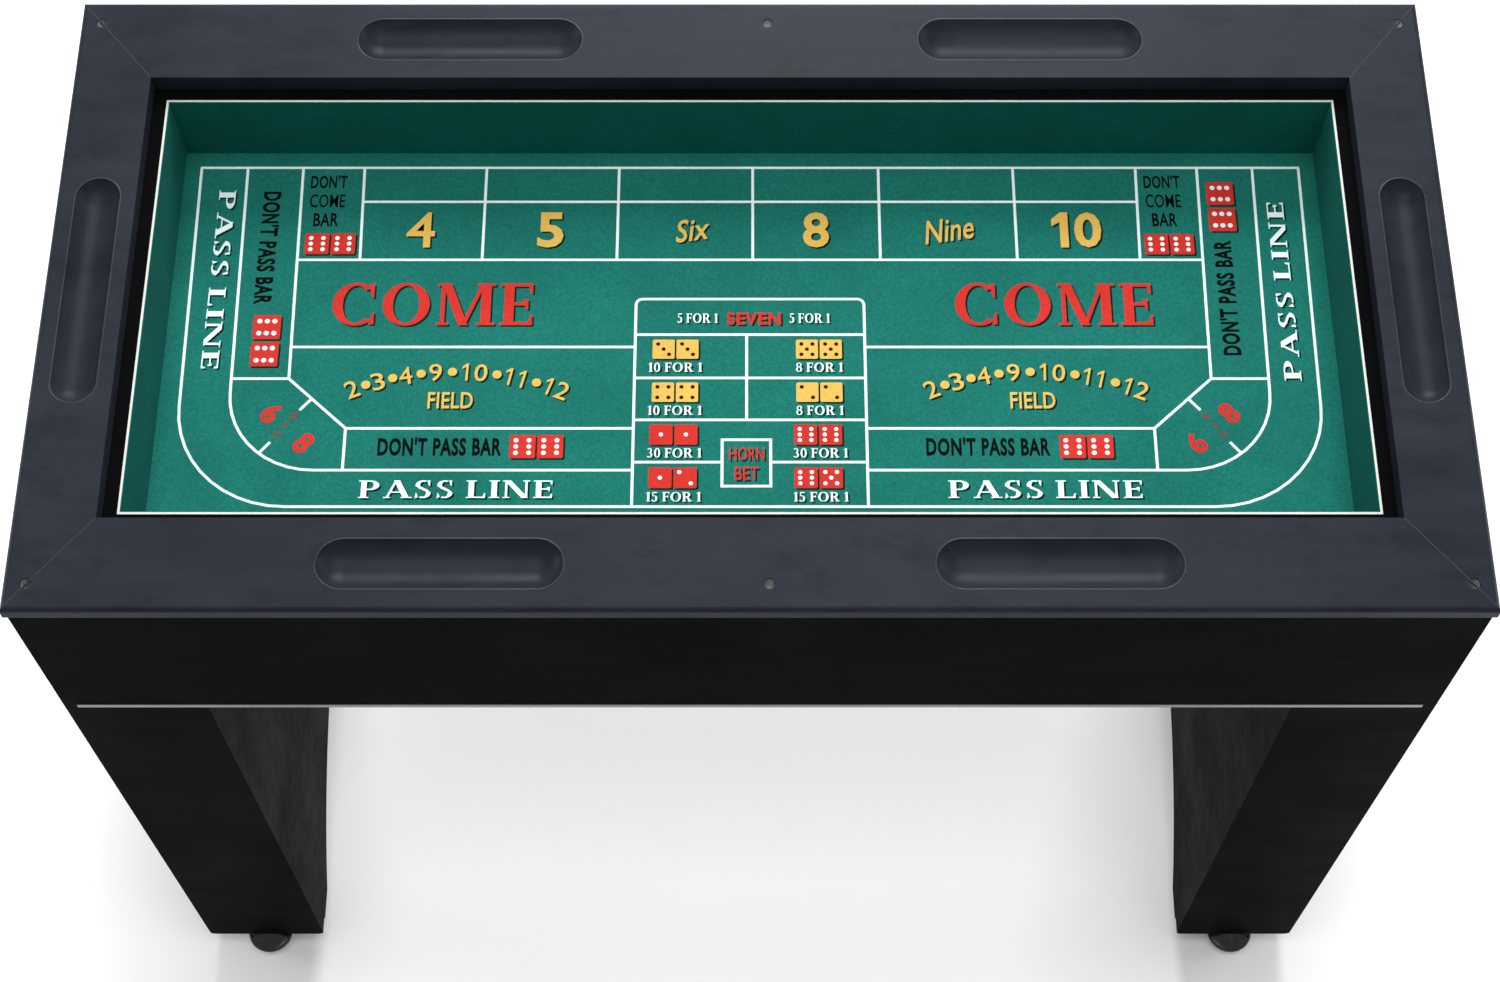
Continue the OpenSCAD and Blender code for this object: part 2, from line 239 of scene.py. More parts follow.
def felt(name, colour, dark, sheen, fibres=0.6):
    """Pressed fibres: fine noise in two directions for hairs, wide noise for the lie of the nap."""
    look = Finish(name)
    hairs = look.noise(900.0, 3.0, (1.0, 0.35, 1.0))
    cross = look.noise(900.0, 3.0, (0.35, 1.0, 1.0))
    both = look.add("ShaderNodeMath", [(0, hairs), (1, cross)], operation="MULTIPLY").outputs[0]
    nap = look.noise(14.0, 4.0)
    worn = look.mix(look.span(nap, 0.35, 0.7, 0.0, 0.35), colour, dark)
    threads = look.mix(look.span(both, 0.14, 0.36, fibres, 0.0), worn, dark)
    bump = look.relief(both, 0.0004, 0.55)
    return look.finish(Base_Color=threads, Normal=bump, Roughness=0.93, Sheen_Weight=sheen,
                    Sheen_Roughness=0.45, Specular_IOR_Level=0.06)


def foam(name):
    """Cut foam: round cells from a Voronoi pattern, darkened in their hollows as painted shade, with a little
    yellowing.
    """
    look = Finish(name)
    cells = look.add("ShaderNodeTexVoronoi", [("Vector", look.place), ("Scale", 850.0)]).outputs[0]
    age = look.mix(look.noise(30.0), shade(214, 216, 212), shade(190, 190, 178))
    # The cells' hollows are mixed towards grey: painted shade in the pits of the foam.
    pits_painted_shade = look.mix(look.span(cells, 0.0, 0.5, 0.35, 0.0), age, shade(150, 152, 148))
    return look.finish(Base_Color=pits_painted_shade, Normal=look.relief(cells, 0.0003, 0.5), Roughness=0.75)


GREEN = shade(26, 113, 102)
DEEP = shade(15, 78, 69)
felt_finish = felt("playing_felt", GREEN, DEEP, 0.08)
wall_finish = felt("wall_felt", shade(6, 102, 93), shade(3, 68, 62), 0.01)
foam_finish = foam("foam_board")
inks = {
    "white": felt("ink_white", shade(222, 236, 234), shade(186, 206, 202), 0.0, 0.35),
    "gold": felt("ink_gold", shade(212, 176, 88), shade(180, 142, 60), 0.0, 0.4),
    "red": felt("ink_red", shade(196, 52, 44), shade(158, 34, 30), 0.0, 0.4),
    "rust": felt("ink_rust", shade(150, 46, 34), shade(110, 34, 26), 0.0, 0.4),
    "black": felt("ink_black", shade(6, 12, 12), shade(2, 5, 5), 0.0, 0.4),
    "brown": felt("ink_brown", shade(58, 14, 6), shade(40, 8, 4), 0.0, 0.3),
    "shadow": felt("ink_shadow", shade(3, 36, 31), shade(1, 24, 20), 0.0, 0.4),
}

# %% [markdown]
# ## Board, metal and plastic
# The hidden pieces still have to be right when the table is turned over: bare board inside, zinc
# plated hardware, a brushed strip along the apron, and black moulded feet and caps.

# %% Board, metals and plastics


def bare_board(name):
    """Pressed wood chips: pale and dark flakes from a Voronoi pattern, with fine dust over them."""
    look = Finish(name)
    flat = look.add("ShaderNodeMapping", [("Vector", look.place), ("Scale", (1.0, 1.0, 2.2))]).outputs[0]
    chips = look.add("ShaderNodeTexVoronoi", [("Vector", flat), ("Scale", 260.0)])
    tone = look.add("ShaderNodeSeparateColor", [(0, chips.outputs["Color"])]).outputs[0]
    wood = look.mix(tone, shade(190, 158, 112), shade(146, 110, 70))
    dust = look.mix(look.span(look.noise(700.0), 0.4, 0.7, 0.0, 0.3), wood, shade(214, 190, 150))
    return look.finish(Base_Color=dust, Roughness=0.82, Normal=look.relief(tone, 0.0002, 0.4))


def metal(name, colour, stretch, low, high):
    """Metal with scratches: noise stretched along the direction of brushing sets the roughness."""
    look = Finish(name)
    lines = look.noise(500.0, 5.0, stretch)
    stain = look.mix(look.span(look.noise(40.0), 0.4, 0.75, 0.0, 0.4), colour, shade(150, 150, 146))
    return look.finish(Base_Color=stain, Metallic=1.0, Roughness=look.span(lines, 0.3, 0.7, low, high),
                    Normal=look.relief(lines, 0.00003, 0.3))


def moulded(name, colour, scuffed, gloss):
    """Moulded plastic: a faint pebble from the tool and scuffs where it is handled."""
    look = Finish(name)
    scuff = look.span(look.noise(90.0, 6.0), 0.5, 0.75, 0.0, 0.5)
    rough = look.span(look.noise(160.0, 4.0), 0.3, 0.7, gloss, gloss + 0.12)
    return look.finish(Base_Color=look.mix(scuff, colour, scuffed), Roughness=rough,
                    Normal=look.relief(look.noise(1100.0, 2.0), 0.00005, 0.4))


finishes = {
    "rail_laminate": rail_finish,
    "cabinet_laminate": cabinet_finish,
    "raw_board": bare_board("raw_board"),
    "playing_felt": felt_finish,
    "wall_felt": wall_finish,
    "foam_board": foam_finish,
    "trim_metal": metal("trim_metal", shade(128, 130, 134), (0.02, 1.0, 1.0), 0.28, 0.42),
    "screw_cap_plastic": moulded("screw_cap_plastic", shade(7, 8, 9), shade(20, 21, 23), 0.45),
    "foot_plastic": moulded("foot_plastic", shade(22, 24, 27), shade(52, 55, 60), 0.16),
    "zinc_steel": metal("zinc_steel", shade(192, 194, 196), (1.0, 1.0, 1.0), 0.26, 0.42),
}
# Near-black painted shade for the mitre lines: it stands in for the shade in each mitre's fine groove.
mitre_painted_shade = moulded("seam_shadow", shade(8, 8, 9), shade(14, 14, 16), 0.6)

# %% [markdown]
# ## Dressing the frame's pieces
# Each piece of the frame names the finish that it wears. Its mesh is left alone, and only the
# material on it is changed, so no board is moved or resized by its looks.

# %% Finishes on the frame's own pieces
for part in frame["record"]["subparts"]:
    worn_by = nodes[part["node"]]
    worn_by.data.materials.clear()
    worn_by.data.materials.append(finishes[part["material_slot"]])
print("finishes:", len(finishes), "inks:", len(inks))

# %% [markdown]
# ## Printing on felt
# The layout could be an image, but an image blurs when it is looked at closely, and it would have
# to be painted first. Here each line and letter is a flat plate of ink, its top a few hundredths of
# a millimetre above the felt. Each plate of an ink is a hair higher than the last, and the hairs
# start again after sixty, so plates that overlap don't flicker.

# %% Ink plates

INK_ROOT = 0.3 * MM
# How far each layer's top stands above the felt, and the step and count of its hairs, in millimetres
LIFT = {"shadow": 0.03, "rule": 0.06, "word": 0.12, "die": 0.10, "pip": 0.20}
HAIR = 0.0004
HAIRS = 60
RULE_W = 2.5
SHADOW_STEP = np.array([1.7, -1.7])
printed = {colour: [] for colour in inks}


def top_of(layer, colour):
    """Height of the next plate's top: its layer's lift, and a hair for each plate before it."""
    hair = HAIR * (len(printed[colour]) % HAIRS)
    return FELT_TOP + (LIFT[layer] + hair) * MM


def plate(outline, layer, colour):
    """A flat closed outline in millimetres, carried straight up from inside the felt."""
    top = top_of(layer, colour)
    flat = np.asarray(outline, float) * MM
    levels = np.array([FELT_TOP - INK_ROOT, top])
    grid = np.empty((2, len(flat), 3))
    grid[:, :, :2] = flat[None]
    grid[:, :, 2] = levels[:, None]
    printed[colour].append(skin(grid))


def shaded_plate(outline, layer, colour):
    """A plate with its printed shadow, the same outline moved towards the front right."""
    plate(np.asarray(outline) + SHADOW_STEP, "shadow", "shadow")
    plate(outline, layer, colour)


def arc(x, y, rx, ry, start, end, count=12):
    """Points on an ellipse about (x, y) from one angle to another, in degrees."""
    a = np.radians(np.linspace(start, end, count))
    return np.column_stack([x + rx * np.cos(a), y + ry * np.sin(a)])


def rule(path):
    """A printed white line: at each point of its path the section is a flat box, set square to the
    path's direction, and widened at a bend by one over the cosine of half the turn."""
    path = np.asarray(path, float)
    step = np.diff(path, axis=0)
    along = step / np.linalg.norm(step, axis=1)[:, None]
    side = np.column_stack([-along[:, 1], along[:, 0]])
    before = np.vstack([side[:1], side])
    after = np.vstack([side, side[-1:]])
    bisector = before + after
    bisector /= np.linalg.norm(bisector, axis=1)[:, None]
    reach = RULE_W / 2 / np.sum(bisector * after, axis=1)
    left = (path + bisector * reach[:, None]) * MM
    right = (path - bisector * reach[:, None]) * MM
    low = FELT_TOP - INK_ROOT
    high = top_of("rule", "white")
    grid = np.empty((len(path), 4, 3))
    for column, (edge, level) in enumerate([(left, low), (right, low), (right, high), (left, high)]):
        grid[:, column, :2] = edge
        grid[:, column, 2] = level
    printed["white"].append(skin(grid))


# %% [markdown]
# ## The white lines
# A craps layout is the same on both ends, so most lines are drawn once and mirrored: the pass line
# runs round the outside, the don't pass bar inside it, and the numbers stand along the back.

# %% Lines of the layout

BACK_Y = 190.0
NUMBER_Y = 152.5
COME_BACK_Y = 89.7
COME_FRONT_Y = -2.0
FIELD_FRONT_Y = -84.8
PASS_Y = -126.3
FRONT_Y = -162.0
PASS_X = 464.5
BAR_X = 415.0
BOX_X = 357.0
CENTRE_X = 103.0
CORNER_Y = -34.5
HORN = (-24.5, 18.2, -142.0, -96.2)
ROWS = (10.8, -33.8, -76.3, -118.4)
DIVIDERS = (-244.5, -121.5, 2.5, 119.0, 244.0)

outer = [[(-509.5, BACK_Y)], arc(-405, -62, 101, 100, 180, 270), arc(405, -62, 101, 100, 270, 360),
         [(509.5, BACK_Y)]]
rule(np.vstack(outer))
rule([(-510.5, BACK_Y), (510.5, BACK_Y)])
for end in (-1, 1):
    flip = np.array([end, 1])
    inner = [[(PASS_X + 2, BACK_Y)], arc(383, -48, 79, 78.3, 0, -90), [(CENTRE_X, PASS_Y)]]
    rule(np.vstack(inner) * flip)
    bar = [(BAR_X, BACK_Y), (BAR_X - 4, CORNER_Y), (BOX_X, FIELD_FRONT_Y), (BOX_X, PASS_Y)]
    rule(np.array(bar) * flip)
    rule(np.array([(PASS_X - 1, CORNER_Y), (BAR_X - 4, CORNER_Y)]) * flip)
    rule(np.array([(BOX_X + 1, BACK_Y), (BOX_X - 1, COME_BACK_Y)]) * flip)
    rule(np.array([(CENTRE_X, COME_FRONT_Y), (BAR_X - 3, COME_FRONT_Y)]) * flip)
    rule(np.array([(CENTRE_X, FIELD_FRONT_Y), (BOX_X, FIELD_FRONT_Y)]) * flip)
    rule(np.array([(389, -55), (399, -66.5)]) * flip)
    rule(np.array([(432, -110), (422.5, -98.5)]) * flip)
rule([(-BOX_X, NUMBER_Y), (BOX_X, NUMBER_Y)])
rule([(-BAR_X + 1.5, COME_BACK_Y), (BAR_X - 1.5, COME_BACK_Y)])
for x in DIVIDERS:
    rule([(x, BACK_Y), (x, COME_BACK_Y)])
rule(np.vstack([[(-CENTRE_X, FRONT_Y - 1)], arc(-CENTRE_X + 6, 42, 6, 6, 180, 90, 6),
                arc(CENTRE_X - 6, 42, 6, 6, 90, 0, 6), [(CENTRE_X, FRONT_Y - 1)]]))
for y in ROWS[:3]:
    rule([(-CENTRE_X, y), (CENTRE_X, y)])
rule([(-CENTRE_X, ROWS[3]), (HORN[0], ROWS[3])])
rule([(HORN[1], ROWS[3]), (CENTRE_X, ROWS[3])])
rule([(-3, ROWS[0]), (-3, ROWS[2])])
for x in HORN[:2]:
    rule([(x, HORN[2] - RULE_W / 2), (x, HORN[3] + RULE_W / 2)])
for y in HORN[2:]:
    rule([(HORN[0], y), (HORN[1], y)])
print("lines:", len(printed["white"]))

# %% [markdown]
# ## Roman letters from strokes
# The pass line and the odds are set in a bold roman. Such a letter is a few strokes: thick stems,
# thin bars, bowls that are the gap between two ellipses, and a serif at each end. Drawing them so
# needs no font file, and every corner is known. A capital is one unit high.

# %% Strokes

THICK = 0.18
THIN = 0.075
SERIF_H = 0.06
SERIF_OUT = 0.075


def stem(x, y0=0.0, y1=1.0, w=THICK, to=None, feet="both"):
    """A stroke from (x, y0) up to (to, y1), level at its ends, with serifs at its feet."""
    to = x if to is None else to
    made = [[(x - w / 2, y0), (x + w / 2, y0), (to + w / 2, y1), (to - w / 2, y1)]]
    if feet in ("both", "low"):
        made.append(bar(x - w / 2 - SERIF_OUT, x + w / 2 + SERIF_OUT, y0, SERIF_H))
    if feet in ("both", "high"):
        made.append(bar(to - w / 2 - SERIF_OUT, to + w / 2 + SERIF_OUT, y1 - SERIF_H, SERIF_H))
    return made


def bar(x0, x1, y, h=THIN):
    """A level bar from x0 to x1, standing on y."""
    return [(x0, y), (x1, y), (x1, y + h), (x0, y + h)]


def tick(x, y0, y1):
    """The pointed end of an arm: a wedge, wide where it joins the arm."""
    return [(x - 0.10, y0), (x, y0), (x, y1), (x - 0.035, y1)]


def bowl(x, y, rx, ry, start, end, wx=THICK, wy=THIN):
    """The gap between an outer ellipse and an inner one, from one angle to another. It comes in
    pieces of a quarter turn or less, so that each outline is a simple one."""
    count = int(np.ceil((end - start) / 90))
    turns = np.linspace(start, end, count + 1)
    return [np.vstack([arc(x, y, rx, ry, a, b, 8), arc(x, y, rx - wx, ry - wy, b, a, 8)])
            for a, b in zip(turns[:-1], turns[1:])]


def letter_p():
    """A stem, and a half-round bowl from its middle to its top."""
    upper = bowl(0.36, 0.725, 0.30, 0.275, -90, 90)
    return stem(0.17) + [bar(0.2, 0.37, 0.925), bar(0.2, 0.37, 0.45)] + upper


def letter_e():
    """A stem with three arms, each ending in a wedge."""
    return (stem(0.17) + [bar(0.2, 0.60, 0.0), bar(0.2, 0.60, 0.925), bar(0.2, 0.48, 0.47),
                          tick(0.60, 0.0, 0.24), tick(0.60, 1.0, 0.76), tick(0.52, 0.62, 0.38)])


def letter_s():
    """Two bowls, open to the right above and to the left below, joined by a slanting spine."""
    spine = [(0.085, 0.70), (0.17, 0.545), (0.475, 0.30), (0.545, 0.31), (0.46, 0.465), (0.15, 0.72)]
    return (bowl(0.31, 0.735, 0.245, 0.275, 60, 200, 0.15, 0.08) + [spine]
            + bowl(0.31, 0.27, 0.25, 0.28, -120, 15, 0.15, 0.08)
            + [tick(0.53, 1.0, 0.70), [(0.06, 0.0), (0.10, 0.0), (0.17, 0.07), (0.09, 0.32)]])


ROMAN = {
    "P": (letter_p, 0.74),
    "A": (lambda: stem(0.12, w=THIN, to=0.40, feet="low") + stem(0.74, w=0.2, to=0.42, feet="low")
          + [bar(0.2, 0.64, 0.30, 0.065)], 0.90),
    "S": (letter_s, 0.64),
    "L": (lambda: stem(0.17) + [bar(0.2, 0.60, 0.0), tick(0.62, 0.0, 0.27)], 0.68),
    "I": (lambda: stem(0.17), 0.36),
    "N": (lambda: stem(0.14, w=THIN) + stem(0.74, w=0.21, to=0.18, feet="none")
          + stem(0.78, w=THIN, feet="high"), 0.95),
    "E": (letter_e, 0.68),
    "C": (lambda: bowl(0.46, 0.5, 0.43, 0.515, 48, 312, 0.19, 0.065)
          + [tick(0.78, 0.99, 0.66), tick(0.80, 0.02, 0.30)], 0.86),
    "O": (lambda: bowl(0.46, 0.5, 0.43, 0.515, 0, 360, 0.19, 0.065), 0.94),
    "M": (lambda: stem(0.14, w=THIN) + stem(0.52, w=0.17, to=0.20, feet="none")
          + stem(0.52, w=THIN, to=0.86, feet="none") + stem(0.92), 1.12),
    "F": (lambda: stem(0.17) + [bar(0.2, 0.56, 0.925), bar(0.2, 0.44, 0.47), tick(0.58, 1.0, 0.74),
                                tick(0.48, 0.62, 0.38)], 0.60),
    "R": (lambda: letter_p() + stem(0.66, y1=0.47, w=0.19, to=0.42, feet="low"), 0.82),
    "0": (lambda: bowl(0.30, 0.5, 0.27, 0.515, 0, 360, 0.16, 0.07), 0.60),
    "1": (lambda: stem(0.22, feet="low") + [[(0.02, 0.80), (0.02, 0.86), (0.30, 1.0), (0.16, 0.86)]],
          0.40),
    "3": (lambda: bowl(0.24, 0.745, 0.22, 0.265, -90, 150, 0.14, 0.07)
          + bowl(0.24, 0.27, 0.26, 0.28, -150, 90, 0.15, 0.07), 0.56),
    "5": (lambda: bowl(0.24, 0.31, 0.27, 0.33, -150, 100, 0.16, 0.07)
          + [bar(0.12, 0.48, 0.89, 0.11), bar(0.10, 0.17, 0.56, 0.4)], 0.56),
    "8": (lambda: bowl(0.30, 0.755, 0.23, 0.255, 0, 360, 0.12, 0.07)
          + bowl(0.30, 0.27, 0.27, 0.285, 0, 360, 0.14, 0.07), 0.60),
    " ": (lambda: [], 0.24),
}


def turned(points, x, y, angle):
    """Points turned about the origin by an angle in degrees, then moved to (x, y)."""
    a = np.radians(angle)
    spin = np.array([[np.cos(a), np.sin(a)], [-np.sin(a), np.cos(a)]])
    return np.asarray(points, float) @ spin + (x, y)


def roman(words, x, y, width, height, turn=0, colour="white"):
    """A word in roman strokes, fitted to a width and a height, its middle at (x, y)."""
    pen, strokes = 0.0, []
    for letter in words:
        shape, advance = ROMAN[letter]
        strokes += [np.asarray(stroke, float) + (pen, 0) for stroke in shape()]
        pen += advance + 0.05
    everything = np.vstack(strokes)
    low, high = everything.min(0), everything.max(0)
    scale = np.array([width, height]) / (high - low)
    for stroke in strokes:
        shaded_plate(turned((stroke - (low + high) / 2) * scale, x, y, turn), "word", colour)


# %% [markdown]
# ## Setting the roman words
# On real felt each word is printed to fill its box. Each word here is given by its middle, its
# width, its height and its turn, so its size doesn't depend on the shapes of its letters.

# %% The words in roman letters

# A word, its middle (x, y), its width and height, its turn in degrees, and its ink
ROMAN_WORDS = (
    ("PASS LINE", -483, 70.5, 189, 15.5, -90, "white"),
    ("PASS LINE", 484, 57.5, 188, 15.5, 90, "white"),
    ("PASS LINE", -257, -145, 169, 17.5, 0, "white"),
    ("PASS LINE", 257.5, -145, 169, 17.5, 0, "white"),
    ("COME", -287, 42.5, 181, 45, 0, "red"),
    ("COME", 274.5, 42.5, 178, 45, 0, "red"),
    ("5 FOR 1", -47.3, 28, 36.7, 10, 0, "white"),
    ("5 FOR 1", 53.7, 28, 36.7, 10, 0, "white"),
)
# The odds under each row of dice: the left word, the right word, the right one's width, and y
ODDS = (("10 FOR 1", "8 FOR 1", 42, -22.8), ("10 FOR 1", "8 FOR 1", 42, -66.6),
        ("30 FOR 1", "30 FOR 1", 48, -109.2), ("15 FOR 1", "15 FOR 1", 48, -152.4))
ODDS_X = (-66.7, 62)
ODDS_W = 48
ODDS_H = 9.5

for word in ROMAN_WORDS:
    roman(*word)
for left, right, right_w, y in ODDS:
    roman(left, ODDS_X[0], y, ODDS_W, ODDS_H)
    roman(right, ODDS_X[1], y, right_w, ODDS_H)
print("plates after the roman words:", sum(len(plates) for plates in printed.values()))

# %% [markdown]
# ## Plain letters from the built-in font
# The bars, the numbers and the field use plain letters. Blender has one plain font of its own, so a
# text object gives their outlines. It is turned into a mesh first, and only then fitted to its size
# and laid on the felt, so that nothing is left that could move with a setting.

# %% Plain words


def lettering(words, weight, slant):
    """A text object's mesh, as points and faces, its two flat sides at z above and below zero. The
    letters are set further apart in step with their weight, so that bold ones don't touch."""
    curve = bpy.data.curves.new("lettering", "FONT")
    curve.body = words
    curve.size = 1.0
    curve.offset = weight
    curve.space_character = 1 + 3 * weight
    curve.shear = slant
    curve.extrude = 0.01
    curve.resolution_u = 3
    holder = bpy.data.objects.new("lettering", curve)
    bpy.context.scene.collection.objects.link(holder)
    bpy.context.view_layer.update()
    mesh = bpy.data.meshes.new_from_object(holder.evaluated_get(bpy.context.evaluated_depsgraph_get()))
    work = bmesh.new()
    work.from_mesh(mesh)
    bmesh.ops.remove_doubles(work, verts=work.verts, dist=0.0001)
    work.to_mesh(mesh)
    work.free()
    points = np.empty(len(mesh.vertices) * 3)
    mesh.vertices.foreach_get("co", points)
    faces = [list(face.vertices) for face in mesh.polygons]
    bpy.data.objects.remove(holder)
    bpy.data.curves.remove(curve)
    bpy.data.meshes.remove(mesh)
    return points.reshape(-1, 3), faces


def plain(words, x, y, width, height, turn=0, colour="black", weight=0.0, slant=0.0, shadow=True):
    """A word in plain letters, fitted to a width and a height, its middle at (x, y)."""
    points, faces = lettering(words, weight, slant)
    flat = points[:, :2]
    low, high = flat.min(0), flat.max(0)
    fitted = (flat - (low + high) / 2) * np.array([width, height]) / (high - low)
    laid = turned(fitted, x, y, turn)
    layers = [("word", colour, laid)]
    if shadow:
        layers.append(("shadow", "shadow", laid + SHADOW_STEP))
    for layer, ink, place in layers:
        level = np.where(points[:, 2] > 0, top_of(layer, ink), FELT_TOP - INK_ROOT)
        printed[ink].append((np.column_stack([place * MM, level]), faces))


def one(x, y, height, stroke, turn=0):
    """A gold figure one, which the built-in font draws as a bare line: an upright with a flag."""
    left = -stroke / 2 + 0.06
    outline = [(left, -0.5), (left + stroke, -0.5), (left + stroke, 0.5), (left + 0.02, 0.5),
               (left - 0.20, 0.30), (left - 0.20, 0.30 - stroke), (left, 0.42 - stroke)]
    shaded_plate(turned(np.array(outline) * height, x, y, turn), "word", "gold")


# Added to each letter's outline, as a share of its height
BOLD = 0.035
SIGN = 0.022
FINE = 0.008
THIN_RED = 0.01
FIELD_WEIGHT = 0.015
SCRIPT = {"weight": 0.012, "slant": 0.35}
# The bars' words: their middle, width, height and turn
BARS = ((-441, 103, 121, 17, -90), (432, 50, 121, 17, 90),
        (-273, -103, 109, 18.5, 0), (209.5, -103, 109, 18.5, 0))
# The corner signs: a line's word, y, width and weight
SIGN_LINES = (("DON'T", 174.5, 33.5, SIGN), ("COME", 153.5, 32.5, FINE), ("BAR", 133, 23, SIGN))
SIGN_H = 14.5
# The point numbers: a figure, its x, width and weight
FIGURES = (("4", -302, 26, 0.010), ("5", -183, 24, 0.028), ("8", 60.5, 24, 0.024),
           ("0", 310, 25, 0.028))
FIGURE_Y = 122
FIGURE_H = 38

for bar_word in BARS:
    plain("DON'T PASS BAR", *bar_word, weight=BOLD, shadow=False)
for x in (-390, 381.5):
    for words, y, width, weight in SIGN_LINES:
        plain(words, x, y, width, SIGN_H, weight=weight, shadow=False)
for words, x, width, weight in FIGURES:
    plain(words, x, FIGURE_Y, width, FIGURE_H, colour="gold", weight=weight)
one(286, FIGURE_Y, FIGURE_H, 0.20)
plain("Six", -53, FIGURE_Y, 33, 24, 9, "gold", **SCRIPT)
plain("Nine", 182, FIGURE_Y, 47, 25, 9, "gold", **SCRIPT)
plain("SEVEN", 3.5, 27.5, 49, 13, colour="red", weight=BOLD)
plain("HORN", -3, -110, 31, 13, colour="red", weight=THIN_RED)
plain("BET", -3, -129.5, 21, 13, colour="red", weight=THIN_RED)
for x in (-266, 251):
    plain("FIELD", x, -56.5, 40, 16.5, colour="gold", weight=FIELD_WEIGHT)
print("plates after the plain words:", sum(len(plates) for plates in printed.values()))

# %% [markdown]
# ## Numbers on an arc, and the big six and eight
# The field's numbers stand on a wide arc, each turned to its place on it. An angle for each number
# puts it there: a circle's point at that angle gives the place, and the angle gives the turn.

# %% Arcs and corners

ARC_R = 245.0
ARC_TOP_Y = -27.5
ARC_MIDDLES = (-262.5, 253)
MARK_H = 17.5
MARK_W = 11.5
DOT_R = 4.2
# How far along the arc each figure or dot stands, in millimetres
FIELD_MARKS = ((-94, "2"), (-81, "."), (-70, "3"), (-56.5, "."), (-45, "4"), (-31, "."), (-18, "9"),
               (-3, "."), (9, "1"), (22.5, "0"), (37, "."), (48, "1"), (60, "1"), (73.5, "."),
               (85, "1"), (98, "2"))
for middle in ARC_MIDDLES:
    for along, mark in FIELD_MARKS:
        lean = along / ARC_R
        x = middle + ARC_R * np.sin(lean)
        y = ARC_TOP_Y - ARC_R * (1 - np.cos(lean))
        if mark == ".":
            shaded_plate(arc(x, y, DOT_R, DOT_R, 0, 340, 18), "word", "gold")
        elif mark == "1":
            one(x, y, MARK_H, 0.12, -np.degrees(lean))
        else:
            plain(mark, x, y, MARK_W, MARK_H, -np.degrees(lean), "gold", 0.006)

CORNER_TURN = 42
CORNER_FIGURE = (13.5, 22)
BIG_H = 6.5
BIG = (("B", 403.5, -72.5, 5), ("I", 410.5, -81.5, 1.6), ("G", 417, -90.5, 6))
for end, first, second in ((-1, "6", "8"), (1, "8", "6")):
    turn = end * CORNER_TURN
    plain(first, end * 424, -69.5, *CORNER_FIGURE, turn, "red", BOLD, shadow=False)
    plain(second, end * 393, -99.5, *CORNER_FIGURE, turn, "red", BOLD, shadow=False)
    for letter, x, y, width in BIG:
        plain(letter, end * x, y, width, BIG_H, turn, "rust", shadow=False)
print("plates after the field and corners:", sum(len(plates) for plates in printed.values()))

# %% [markdown]
# ## Printed dice
# Each bet shows its dice. A die is a rounded square, and its spots stand on a grid of three by
# three, so a face is only a list of which places of the grid are filled.

# %% Dice

SPOTS = {
    1: [(0, 0)],
    2: [(-1, 1), (1, -1)],
    3: [(-1, 1), (0, 0), (1, -1)],
    4: [(-1, 1), (1, 1), (-1, -1), (1, -1)],
    5: [(-1, 1), (1, 1), (0, 0), (-1, -1), (1, -1)],
    6: [(-1, 1), (1, 1), (-1, 0), (1, 0), (-1, -1), (1, -1)],
}


DIE_GAP = 1.6
DIE_ROUND = 1.6


def die(x, y, size, face, colour, turn=0):
    """A rounded square with its spots, turned about its middle."""
    reach = size / 2 - DIE_ROUND
    corners = ((1, 1, 0), (-1, 1, 90), (-1, -1, 180), (1, -1, 270))
    outline = np.vstack([arc(i * reach, j * reach, DIE_ROUND, DIE_ROUND, a, a + 90, 4)
                         for i, j, a in corners])
    shaded_plate(turned(outline, x, y, turn), "die", colour)
    spot = "white" if colour == "red" else "brown"
    for i, j in SPOTS[face]:
        middle = turned([(i * 0.25 * size, j * 0.27 * size)], x, y, turn)[0]
        plate(arc(*middle, 0.095 * size, 0.095 * size, 0, 330, 12), "pip", spot)


# Each pair: its middle (x, y), the step from one die to the next, its faces and its ink
PAIRS = (
    (-66.7, -4.3, 21.4, (3, 3), "gold"), (61.7, -4.3, 21.4, (5, 5), "gold"),
    (-66.7, -48.3, 21.4, (4, 4), "gold"), (61.7, -48.3, 21.4, (2, 2), "gold"),
    (-67.5, -91, 22, (1, 1), "red"), (60, -91, 22, (6, 6), "red"),
    (-67.8, -133.8, 22, (1, 2), "red"), (60, -133.8, 22, (6, 5), "red"),
    (-188, -103, 24.5, (6, 6), "red"), (296, -103, 24.5, (6, 6), "red"),
    (-384.5, 107, 24, (6, 6), "red"), (383.8, 106.5, 23.5, (6, 6), "red"),
)
# The sixes on the side bars, lying on their sides
SIDE_DICE = ((-435, 18.5), (-435, -9.5), (434.5, 161.5), (434.5, 133.0))
SIDE_DIE = 25

for x, y, step, faces, colour in PAIRS:
    for k, face in enumerate(faces):
        die(x + (k - 0.5) * step, y, step - DIE_GAP, face, colour)
for x, y in SIDE_DICE:
    die(x, y, SIDE_DIE, 6, "red", 90)

# %% [markdown]
# ## One piece for each ink
# A screen printer lays one ink at a time, and so does this: all the plates of one ink become one
# mesh, which keeps the object light and lets an ink be changed in one place.

# %% The printed pieces

prints = [piece("layout_print_" + colour, plates, inks[colour])
          for colour, plates in printed.items()]

# %% [markdown]
# ## Cloth and foam
# The layout is one flat piece of felt laid on the well's floor. Each wall has a strip of felt drawn tight over a
# thin foam board, so nothing here hangs or sags. The size of each wall's strip is printed here.

# %% Sheets and padding

for wall in ("front", "back", "left", "right"):
    strip_size = np.ptp(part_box("wall_felt_" + wall), axis=0)
    print(wall, "wall felt", strip_size.round(4))
